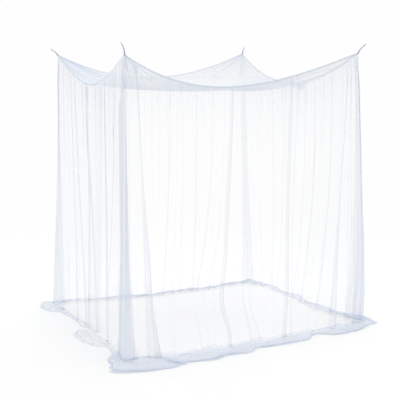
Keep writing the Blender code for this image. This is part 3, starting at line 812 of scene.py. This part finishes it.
backPanel = dict(
    usualPanel, name="back_panel", tape="binding_back", edge="back", seed=52, across=580, sweep=2.4,
    haze=((0, 0.2), (1, 0.2)),
    # the cloth on the floor is fullest next to the wall: cloth tucked under the hem, and painted contact
    # shade
    lying=((0, 2), (0.15, 1.6), (0.4, 1), (0.75, 0.8), (1, 0.7)),
    ways=(
        (0.012, 0.014), (0.034, 0.044), (0.066, 0.11), (0.107, 0.205), (0.184, 0.275), (0.28, 0.325),
        (0.357, 0.385), (0.43, 0.47), (0.5, 0.51), (0.57, 0.585), (0.645, 0.644), (0.752, 0.746),
        (0.835, 0.828), (0.902, 0.89), (0.954, 0.942), (0.984, 0.976),
    ),
    folds=(
        (0.012, 0.014, 0.009, 0.013, 1.9), (0.04, 0.06, 0.011, 0.012, 1.4),
        (0.107, 0.231, 0.011, 0.008, 4.1), (0.184, 0.299, 0.013, 0.011, 5.4),
        (0.28, 0.322, 0.011, 0.011, 5.4), (0.364, 0.391, 0.011, 0.01, 4.1),
        (0.395, 0.43, 0.008, 0.006, 2.8), (0.435, 0.481, 0.011, 0.011, 5.8),
        (0.499, 0.5, 0.009, 0.007, 3.9, dict(ends=0.65)), (0.572, 0.585, 0.009, 0.007, 3, dict(ends=0.5)),
        (0.645, 0.644, 0.011, 0.008, 1.4), (0.752, 0.746, 0.011, 0.008, 1.1),
        (0.835, 0.828, 0.011, 0.01, 1.1), (0.902, 0.89, 0.011, 0.01, 1.4),
        (0.954, 0.942, 0.011, 0.012, 1.6),
    ),
    hem=(
        (0, 0, 0.17, 9.5), (0.1, -0.05, 0.12, 7.4), (0.22, -0.1, 0.1, 6.8), (0.38, -0.12, 0.14, 6.8),
        (0.52, -0.13, 0.1, 6.8), (0.66, -0.12, 0.15, 10.8), (0.8, -0.08, 0.11, 8.1),
        (0.92, -0.03, 0.13, 6.8), (1, 0, 0.13, 6.1),
    ),
)
leftRearPanel = dict(
    usualPanel, name="left_rear_panel", tape="binding_left", edge="left", end=0.574, floorEnd=0.574,
    seed=37, across=360, free=("end",), oneSided=(-1, 0.49, 1), sweep=1.2,
    haze=((0, 5.6), (0.574, 4.4)),
    lying=((0, 0.7), (0.3, 0.8), (0.8, 0.9), (1, 0.5)),
    ways=((0.013, 0.08), (0.052, 0.119), (0.12, 0.29), (0.2, 0.385), (0.345, 0.47), (0.47, 0.53)),
    folds=(
        (0.002, 0.122, 0.021, 0.011, 7.8), (0.052, 0.119, 0.017, 0.005, 4.8, dict(ends=0.6)),
        (0.09, 0.2, 0.019, 0.006, 1.7), (0.12, 0.303, 0.019, 0.008, 7.8), (0.15, 0.42, 0.019, 0.009, 7.8),
        (0.256, 0.423, 0.015, 0.005, 5.1, dict(ends=0.45)), (0.327, 0.45, 0.022, 0.007, 8),
        (0.366, 0.548, 0.024, 0.01, 8.6), (0.44, 0.49, 0.015, 0.005, 4.1, dict(ends=0.5)),
        (0.52, 0.54, 0.015, 0.005, 3, dict(ends=0.4)),
    ),
    hem=(
        (0, 0, 0.13, 4.5), (0.08, -0.02, 0.19, 4.5), (0.18, -0.05, 0.06, 4.5), (0.32, -0.065, 0.045, 4),
        (0.44, -0.08, 0.07, 3), (0.5, -0.092, 0.04, 3), (0.58, -0.096, 0.04, 3),
    ),
)
leftDoorPanel = dict(
    usualPanel, name="left_door_panel", tape="binding_left", edge="left", start=0.502, layer=1, seed=4,
    across=340, free=("start",), oneSided=(1, 0, 0.59), sweep=1.2,
    haze=((0.5, 2.6), (0.6, 3.6), (1, 3.6)),
    lying=((0, 0.6), (0.3, 0.8), (0.7, 0.8), (1, 0.4)),
    ways=((0.574, 0.65), (0.637, 0.735), (0.735, 0.765), (0.825, 0.85), (0.89, 0.915), (0.945, 0.958)),
    folds=(
        (0.574, 0.661, 0.015, 0.005, 3.8, dict(ends=0.45)), (0.637, 0.742, 0.024, 0.009, 7.6),
        (0.724, 0.718, 0.017, 0.006, 5.1, dict(ends=0.85)), (0.8, 0.86, 0.017, 0.006, 3, dict(ends=0.65)),
        (0.816, 0.93, 0.021, 0.006, 3.9, dict(ends=0.65)), (0.93, 0.945, 0.016, 0.003, 3.8),
    ),
    hem=(
        (0.49, -0.036, 0.11, 3.5), (0.56, -0.034, 0.165, 4), (0.66, -0.046, 0.19, 4),
        (0.73, -0.055, 0.15, 4), (0.8, -0.062, 0.06, 4), (0.88, -0.05, 0.06, 5), (0.95, -0.018, 0.17, 8),
        (1, 0, 0.23, 9),
    ),
)


roof = dict(
    name="roof_panel", metres=1.8, cells=176, crowding=0.35, belly=0.058, inset=0.001, margin=0.09,
    creases=(  # corner, angle from the front or back edge, reach, height, half width
        ("frontLeft", 17, 0.9, 0.012, 0.07), ("frontLeft", 46, 1.1, -0.022, 0.11),
        ("frontRight", 13, 1, 0.012, 0.07), ("frontRight", 52, 1.5, -0.036, 0.13),
        ("backRight", 38, 0.9, -0.016, 0.09), ("backLeft", 24, 1.1, -0.02, 0.09),
        ("backLeft", 50, 0.8, 0.012, 0.08),
    ),
    # the roof's copy of the net is greyer than the walls': painted shade
    light=(0.71, 0.73, 0.76), deep=(0.53, 0.6, 0.74),
    netCover=3.7, grazeLimit=0.19,  # this net is closer than the walls', and seen at a low angle
    # blue is painted shade, a deeper colour over the front and left of the roof
    blue=2.4, cover=2.4, edge=1.2, edgeReach=0.05, line=3,
    shares=(0.2, 0.7, 0.4),  # of the cover: at the sides, more in the middle, and how far in
    rearShares=(0.75, 1.3, 0.35), rearFrom=0.2,  # over the rear, more at its left and at its right
    leftReach=0.34, blueLeft=0.35, blueUntil=0.82,
    pucker=0.0002, ripple=(0.031, 0.029),  # along the seams
    arc=dict(back=0.79, curve=0.49, half=0.012, line=0.7),  # a crease right across, near the back, drawn with a line of painted shade
    fineCreases=(
        ("frontLeft", 8, 0.75, 0.006, 0.016), ("frontLeft", 29, 0.8, 0.007, 0.018),
        ("frontLeft", 37, 0.6, -0.006, 0.014), ("frontLeft", 62, 0.7, 0.006, 0.018),
        ("frontRight", 6, 0.8, 0.006, 0.016), ("frontRight", 21, 1.05, 0.008, 0.02),
        ("frontRight", 42, 0.75, 0.006, 0.018), ("frontRight", 60, 0.6, 0.005, 0.016),
        ("backRight", 14, 0.7, 0.006, 0.016), ("backRight", 27, 0.8, 0.006, 0.018),
        ("backRight", 56, 0.6, 0.006, 0.018), ("backLeft", 9, 0.75, 0.006, 0.016),
        ("backLeft", 17, 0.95, -0.006, 0.016), ("backLeft", 35, 0.9, 0.007, 0.018),
        ("backLeft", 66, 0.55, 0.006, 0.016),
    ),
)


# how high the creases stand, and how strongly each point shows as a line of painted shade along a crease
def roofCrease(points):
    total = np.zeros(points.shape[:2])
    line = np.zeros(points.shape[:2])
    for corner, heading, reach, height, width in roof["creases"] + roof["fineCreases"]:
        step = np.abs(points[..., :2] - topOf(corner)[:2])
        away = np.hypot(step[..., 0], step[..., 1])
        aside = away * np.sin(np.arctan2(step[..., 1], step[..., 0]) - math.radians(heading))
        half = np.maximum(width * (0.25 + 0.75 * np.minimum(away / reach, 1)), 0.013)
        fade = ease(away / roof["margin"]) * (1 - ease(2 * away / reach - 1))
        total += height * fade * bell(aside / half)
        if width < 0.05:
            shown = ease(away / 0.03) * (1 - ease(1.4 * away / reach - 0.4))
            line += shown * bell(aside / (0.75 * half))
    arc = roof["arc"]
    behind = points[..., 1] - arc["back"] + arc["curve"] * points[..., 0] ** 2
    line += arc["line"] * bell(behind / arc["half"])
    return total, line


def stretchRoof(material):
    steps = np.linspace(0, 1, roof["cells"] + 1)
    steps = steps - roof["crowding"] * np.sin(2 * math.pi * steps) / (2 * math.pi)
    along, back = np.meshgrid(steps, steps, indexing="ij")
    inset = -(tapeThickness / 2 + roof["inset"])
    front, rear = seamAt("front", along, inset), seamAt("back", 1 - along, inset)
    left, right = seamAt("left", 1 - back, inset), seamAt("right", back, inset)
    u, v = along[..., None], back[..., None]
    near = topOf("frontLeft") * (1 - u) + topOf("frontRight") * u
    far = topOf("backLeft") * (1 - u) + topOf("backRight") * u
    flat = near * (1 - v) + far * v
    points = front * (1 - v) + rear * v + left * (1 - u) + right * u - flat
    lengthwise = (1 - back) * edges["front"]["sag"] * sagShare(edges["front"], along)
    lengthwise += back * edges["back"]["sag"] * sagShare(edges["back"], 1 - along)
    crosswise = (1 - along) * edges["left"]["sag"] * sagShare(edges["left"], 1 - back)
    crosswise += along * edges["right"]["sag"] * sagShare(edges["right"], back)
    deepest = max(edge["sag"] for edge in edges.values())
    belly = roof["belly"] * 16 * along * (1 - along) * back * (1 - back)
    sag = lengthwise + crosswise - lengthwise * crosswise / deepest + belly
    edgeGap = np.minimum(np.minimum(along, 1 - along), np.minimum(back, 1 - back)) * roof["metres"]
    creased, line = roofCrease(points)
    creased *= ease(edgeGap / roof["margin"])
    puckers = roof["pucker"] * np.exp(-edgeGap / 0.035) * ease(edgeGap / 0.004)
    byFront = np.minimum(back, 1 - back) < np.minimum(along, 1 - along)
    ripples = np.sin(2 * math.pi * points[..., :2] / roof["ripple"])
    ripples = np.where(byFront, ripples[..., 0], ripples[..., 1])
    points[..., 2] = flat[..., 2] - sag - tapeHeight / 2 + creased + puckers * ripples
    cloth = points[..., :2].reshape(-1, 2)
    count = roof["cells"] + 1
    atSides, inMiddle, reach = roof["shares"]
    share = atSides + inMiddle * ease(np.minimum(along, 1 - along) / reach)
    leftSide = ease(1 - along / roof["leftReach"])
    whole, atLeft, atRight = roof["rearShares"]
    rearShare = whole + atLeft * leftSide + atRight * ease((along - 0.5) / 0.3)
    share += (rearShare - share) * ease((back - roof["rearFrom"]) / 0.5)
    # painted shade over the front and left of the roof: cover moves from haze into fullness, so only the
    # colour deepens
    blueing = np.maximum(ease((roof["blueUntil"] - back) / 0.35), roof["blueLeft"] * leftSide)
    thick = share * roof["blue"] * blueing
    # the crease lines make the net denser and deeper in colour: painted shade along the creases
    fullness = 1 + thick + roof["line"] * line
    haze = roof["cover"] * share - thick + roof["edge"] * np.exp(-edgeGap / roof["edgeReach"])
    piece = addPiece(
        "roof_net", points.reshape(-1, 3), gridFaces(count, count), [material], cloth,
        hem=edgeGap + net["hemWidth"] * 2, fullness=fullness, haze=haze,  # no hem on the roof
    )
    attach(piece, "root")
    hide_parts(roof["name"])
    print("roof stretched:", count, "x", count)


binding = dict(
    stations=420, edgeRound=0.0011, pucker=0.00035, gathers=(0.017, 0.0113),
    stitch=0.003, stitchStep=0.0042, stitchUp=0.003, threadHalf=0.00035, fromEnd=0.012,
)


# a folded tape over the seam, with a row of stitches near its lower edge on both faces
def addBinding(edgeName, material, thread):
    edge = edges[edgeName]
    length = np.linalg.norm(topOf(edge["end"]) - topOf(edge["start"]))
    share = np.linspace(0.0006, 0.9994, binding["stations"])
    middle = seamAt(edgeName, share)
    out = levelOut(topOf(edge["start"]), topOf(edge["end"]))
    half, tall, soft = tapeThickness / 2, tapeHeight, binding["edgeRound"]
    section = (  # half thickness and drop
        (half, -soft), (half - 0.4 * soft, -0.3 * soft), (0, 0), (soft * 0.4 - half, -0.3 * soft),
        (-half, -soft), (-half * 0.86, -tall * 0.5), (-half, soft - tall), (-half * 0.6, -tall),
        (half * 0.6, -tall), (half, soft - tall), (half * 0.86, -tall * 0.5),
    )
    metres = share * length
    coarse, fine = (2 * math.pi * metres / gather for gather in binding["gathers"])
    pucker = binding["pucker"] * (np.sin(coarse) + 0.6 * np.sin(fine + 1))
    rings = []
    for sideways, drop in section:
        line = middle + out * (sideways * (1 + pucker / half * 0.5))[:, None]
        line[:, 2] += drop + 0.4 * pucker * (-drop / tall)
        rings.append(line)
    points = np.array(rings).transpose(1, 0, 2).reshape(-1, 3)
    faces = tubeFaces(len(share), len(section))
    girth = distances(np.linalg.norm(np.diff(np.array(section), axis=0), axis=1))
    points, cloth, kinds = list(points), list(clothGrid(metres, girth)), [0] * len(faces)
    thick = binding["threadHalf"]
    for face in (1, -1):
        for place in np.arange(binding["fromEnd"], length - binding["fromEnd"], binding["stitchStep"]):
            ends = seamAt(edgeName, np.array([place, place + binding["stitch"]]) / length)
            ends = ends + out * face * half * 0.93
            ends[:, 2] -= tall - binding["stitchUp"]
            way = (ends[1] - ends[0]) / np.linalg.norm(ends[1] - ends[0])
            up = np.cross(out, way)
            centre = ends.mean(axis=0)
            first = len(points)
            crown = centre + out * face * thick * 1.5
            for spot in (ends[0], ends[1], centre + up * thick, centre - up * thick, crown):
                points.append(spot)
                cloth.append((spot[0], spot[2]))
            corner = (first, first + 2, first + 1, first + 3)
            for one, two in zip(corner, corner[1:] + corner[:1]):
                faces.append((two, one, first + 4) if face > 0 else (one, two, first + 4))
                kinds.append(1)
    piece = addPiece("tape_" + edgeName, points, faces, [material, thread], cloth, kinds)
    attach(piece, "root")
    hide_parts("binding_" + edgeName)
    print("binding tape", edgeName, "sewn:", len(faces), "faces")


ties = dict(
    rootHalf=0.0064, tipHalf=0.0036, straight=0.016, curl=1.6, rings=64, sides=20, twists=1.6,
    flatness=0.62, width=1.12, clothSize=(0.005, 0.11),
    knot=(0.1, 0.16, 0.07),  # a bulge over the seam, where it is and how far it goes
    groove=(0.22, 0.7, 0.25),  # the tape's overlap, a groove along it
    reach=dict(  # out, up and sideways bend
        frontLeft=(0.062, 0.084, 0.01), frontRight=(0.064, 0.066, -0.012),
        backRight=(0.08, 0.06, 0.006), backLeft=(0.068, 0.046, 0.006),
    ),
    nodes=dict(
        frontLeft="tie_front_left", frontRight="tie_front_right",
        backRight="tie_back_right", backLeft="tie_back_left",
    ),
)


def addTie(corner, material):
    out, up, bow = ties["reach"][corner]
    root = topOf(corner)
    root[2] -= tapeHeight - 0.0003
    level = np.array((root[0], root[1], 0.0))
    level /= np.linalg.norm(level)
    side = np.array((-level[1], level[0], 0.0))
    share = np.linspace(0, 1, ties["rings"])
    path = root + level * (out * share ** ties["curl"])[:, None]
    path += side * (bow * np.sin(math.pi * share) * share)[:, None]
    path[:, 2] += (ties["straight"] + up) * share
    tangent = np.gradient(path, axis=0)
    tangent /= np.linalg.norm(tangent, axis=1)[:, None]
    across = np.cross(tangent, side)
    across /= np.linalg.norm(across, axis=1)[:, None]
    beside = np.cross(tangent, across)
    radius = ties["rootHalf"] + (ties["tipHalf"] - ties["rootHalf"]) * share
    bulge, middle, half = ties["knot"]
    radius = radius * (1 + bulge * bell((share - middle) / half))
    turn = np.linspace(0, 2 * math.pi, ties["sides"], endpoint=False)
    twist = 2 * math.pi * ties["twists"] * ease(share)
    flat = 1 - (1 - ties["flatness"]) * ease((share - 0.1) / 0.3)
    angle = turn[None, :]
    wide = radius[:, None] * np.cos(angle) * ties["width"]
    thin = radius[:, None] * np.sin(angle) * flat[:, None]
    depth, place, half = ties["groove"]
    fold = 1 - depth * bell(np.sin(angle / 2 - place) / half)
    wide, thin = wide * fold, thin * fold
    cosine, sine = np.cos(twist)[:, None], np.sin(twist)[:, None]
    sideways, upways = wide * cosine - thin * sine, wide * sine + thin * cosine
    points = path[:, None] + across[:, None] * sideways[..., None] + beside[:, None] * upways[..., None]
    around, lengthwise = ties["clothSize"]
    cloth = clothGrid(share * lengthwise, turn * around)[:, ::-1]
    name = ties["nodes"][corner].replace("tie_", "tied_tape_")
    piece = addPiece(name, points.reshape(-1, 3), tubeFaces(*points.shape[:2]), [material], cloth)
    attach(piece, "root")
    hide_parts(ties["nodes"][corner])


addCamera()
addStudio()
wallNet = netMaterial("netWall")
for panel in (frontPanel, frontFlap, rightPanel, backPanel, leftRearPanel, leftDoorPanel):
    hangPanel(panel, wallNet)
stretchRoof(
    netMaterial("netRoofShaded", roof["netCover"], roof["grazeLimit"], roof["light"], roof["deep"])
)
tapeCloth, thread = tapeMaterial(), threadMaterial()
for edgeName in edgeOrder:
    addBinding(edgeName, tapeCloth, thread)
tieCloth = tieMaterial()
for corner in corners:
    addTie(corner, tieCloth)
